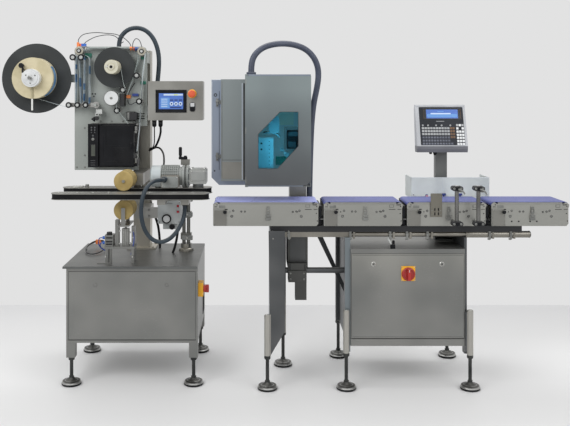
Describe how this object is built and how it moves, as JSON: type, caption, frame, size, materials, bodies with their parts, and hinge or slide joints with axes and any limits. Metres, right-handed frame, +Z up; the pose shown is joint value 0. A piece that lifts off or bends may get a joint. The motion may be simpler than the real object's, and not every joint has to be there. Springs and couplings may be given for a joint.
{
  "type": "weigh price labelling line",
  "caption": "Packaging line: a top and bottom labelling station beside belt conveyors with a hooded labeler, weighing belt and keypad console.",
  "frame": {"origin": "on the floor, under the middle of the object without its hoses", "axes": "+X along the product flow to the right, +Y from front to back, +Z up"},
  "size_m": [2.9899, 0.7455, 1.8772],
  "materials": {
    "stainless": "brushed",
    "dark_steel": "satin",
    "feet": "satin",
    "painted_plate": "satin",
    "red_plastic": "gloss",
    "white_plastic": "matte",
    "black_plastic": "satin",
    "disc": "matte",
    "paper": "matte",
    "black_rubber": "matte",
    "aluminium": "satin",
    "motor_paint": "satin",
    "foam": "matte",
    "hose": "matte",
    "blue_belt": "matte",
    "tinted_window": "clear",
    "console_plastic": "satin",
    "guard_plastic": "gloss",
    "gear": "matte"
  },
  "bodies": {
    "root": {"wrap_cabinet": "stainless", "wrap_table_top": "stainless", "wrap_column": "stainless", "side_belt_frames": "stainless", "lift_actuator": "stainless", "line_leg_panels": "stainless", "line_cabinet": "stainless", "conveyor_1_bed": "stainless", "conveyor_2_bed": "stainless", "conveyor_3_bed": "stainless", "conveyor_4_bed": "stainless", "labeler_body": "stainless", "labeler_mechanism": "stainless", "labeler_column": "stainless", "console_post": "stainless", "idler_rollers": "stainless", "weigh_lane_fittings": "stainless", "hmi_box": "stainless", "line_rails": "dark_steel", "levelling_feet": "feet", "label_plate": "painted_plate", "hmi_screen": "black_plastic", "print_engine": "black_plastic", "side_belts": "black_rubber", "side_belt_gearmotor": "motor_paint", "wrap_drive_box": "motor_paint", "motor_hose": "hose", "plate_hose": "hose", "labeler_hose": "hose", "conveyor_belts": "blue_belt", "wind_guards": "guard_plastic", "control_gear": "gear", "load_cell": "aluminium"},
    "wrap_door": {"wrap_door": "stainless"},
    "wrap_isolator": {"wrap_isolator_knob": "red_plastic"},
    "supply_reel": {"supply_disc": "disc", "label_roll": "paper"},
    "rewind_reel": {"rewind_disc": "disc"},
    "nip": {"nip_wheel": "white_plastic"},
    "dancer": {"dancer_arm": "stainless"},
    "engine_cover": {"print_engine_cover": "black_plastic"},
    "stop_button": {"hmi_stop_button": "red_plastic"},
    "start_button": {"hmi_start_button": "white_plastic"},
    "hold_button": {"hmi_hold_button": "black_plastic"},
    "front_pulley": {"front_drive_pulley": "aluminium"},
    "back_pulley": {"back_drive_pulley": "aluminium"},
    "crank": {"crank_handle": "stainless"},
    "upper_roller": {"upper_foam_roller": "foam"},
    "lift": {"lift_carriage": "stainless"},
    "lower_roller": {"lower_foam_roller": "foam"},
    "line_door": {"line_door": "stainless"},
    "line_isolator": {"line_isolator_knob": "red_plastic"},
    "roller_1": {"conveyor_1_drive_roller": "stainless"},
    "roller_2": {"conveyor_2_drive_roller": "stainless"},
    "roller_3": {"conveyor_3_drive_roller": "stainless"},
    "roller_4": {"conveyor_4_drive_roller": "stainless"},
    "labeler_door": {"labeler_door": "stainless", "labeler_window": "tinted_window"},
    "console": {"console": "console_plastic"}
  },
  "joints": [
    {"name": "wrap_door_hinge", "type": "hinge", "parent": "root", "child": "wrap_door", "pos_m": [-0.737, -0.231, 0.245], "axis": [1, 0, 0], "range_deg": [0, 90]},
    {"name": "wrap_isolator_turn", "type": "hinge", "parent": "root", "child": "wrap_isolator", "pos_m": [-0.38, -0.1675, 0.481], "axis": [1, 0, 0], "range_deg": [0, 90]},
    {"name": "supply_reel_spin", "type": "hinge", "parent": "root", "child": "supply_reel", "pos_m": [-1.304, 0, 1.58], "axis": [0, 1, 0], "continuous": true},
    {"name": "rewind_reel_spin", "type": "hinge", "parent": "root", "child": "rewind_reel", "pos_m": [-0.871, 0, 1.639], "axis": [0, 1, 0], "continuous": true},
    {"name": "nip_wheel_spin", "type": "hinge", "parent": "root", "child": "nip", "pos_m": [-0.884, 0.015, 1.472], "axis": [0, 1, 0], "continuous": true},
    {"name": "dancer_swing", "type": "hinge", "parent": "root", "child": "dancer", "pos_m": [-0.975, 0.045, 1.434], "axis": [0, 1, 0], "range_deg": [-12, 12], "stiffness_Nm_per_rad": 4, "springref_deg": 5.73},
    {"name": "engine_cover_hinge", "type": "hinge", "parent": "root", "child": "engine_cover", "pos_m": [-0.938, -0.0325, 1.216], "axis": [0, 0, -1], "range_deg": [0, 100]},
    {"name": "stop_button_press", "type": "slide", "parent": "root", "child": "stop_button", "axis": [0, 1, 0], "range_m": [0, 0.004], "stiffness_N_per_m": 800},
    {"name": "start_button_press", "type": "slide", "parent": "root", "child": "start_button", "axis": [0, 1, 0], "range_m": [0, 0.003], "stiffness_N_per_m": 600},
    {"name": "hold_button_press", "type": "slide", "parent": "root", "child": "hold_button", "axis": [0, 1, 0], "range_m": [0, 0.003], "stiffness_N_per_m": 600},
    {"name": "front_pulley_spin", "type": "hinge", "parent": "root", "child": "front_pulley", "pos_m": [-0.3835, -0.2765, 0.977], "axis": [0, 0, 1], "continuous": true},
    {"name": "back_pulley_spin", "type": "hinge", "parent": "root", "child": "back_pulley", "pos_m": [-0.3835, -0.0235, 0.977], "axis": [0, 0, 1], "continuous": true},
    {"name": "crank_turn", "type": "hinge", "parent": "root", "child": "crank", "pos_m": [-0.483, 0.006, 1.14], "axis": [0, 0, 1], "continuous": true},
    {"name": "upper_roller_spin", "type": "hinge", "parent": "root", "child": "upper_roller", "pos_m": [-0.783, -0.15, 1.045], "axis": [0, 1, 0], "continuous": true},
    {"name": "lift_raise", "type": "slide", "parent": "root", "child": "lift", "axis": [0, 0, 1], "range_m": [0, 0.04]},
    {"name": "lower_roller_spin", "type": "hinge", "parent": "lift", "child": "lower_roller", "pos_m": [-0.783, -0.15, 0.895], "axis": [0, 1, 0], "continuous": true},
    {"name": "line_door_hinge", "type": "hinge", "parent": "root", "child": "line_door", "pos_m": [0.67, -0.271, 0.264], "axis": [1, 0, 0], "range_deg": [0, 90]},
    {"name": "line_isolator_turn", "type": "hinge", "parent": "line_door", "child": "line_isolator", "pos_m": [0.672, -0.284, 0.582], "axis": [0, -1, 0], "range_deg": [0, 90]},
    {"name": "roller_1_spin", "type": "hinge", "parent": "root", "child": "roller_1", "pos_m": [0.206, -0.15, 0.931], "axis": [0, 1, 0], "continuous": true},
    {"name": "roller_2_spin", "type": "hinge", "parent": "root", "child": "roller_2", "pos_m": [0.633, -0.15, 0.931], "axis": [0, 1, 0], "continuous": true},
    {"name": "roller_3_spin", "type": "hinge", "parent": "root", "child": "roller_3", "pos_m": [1.058, -0.15, 0.931], "axis": [0, 1, 0], "continuous": true},
    {"name": "roller_4_spin", "type": "hinge", "parent": "root", "child": "roller_4", "pos_m": [1.48, -0.15, 0.931], "axis": [0, 1, 0], "continuous": true},
    {"name": "labeler_door_hinge", "type": "hinge", "parent": "root", "child": "labeler_door", "pos_m": [-0.15, -0.28, 1.309], "axis": [0, 0, -1], "range_deg": [0, 110]},
    {"name": "console_tilt", "type": "hinge", "parent": "root", "child": "console", "pos_m": [0.924, 0.1, 1.24], "axis": [1, 0, 0], "range_deg": [-10, 15]}
  ],
  "couplings": [
    {"joint": "back_pulley_spin", "follows": "front_pulley_spin", "ratio": -1}
  ]
}
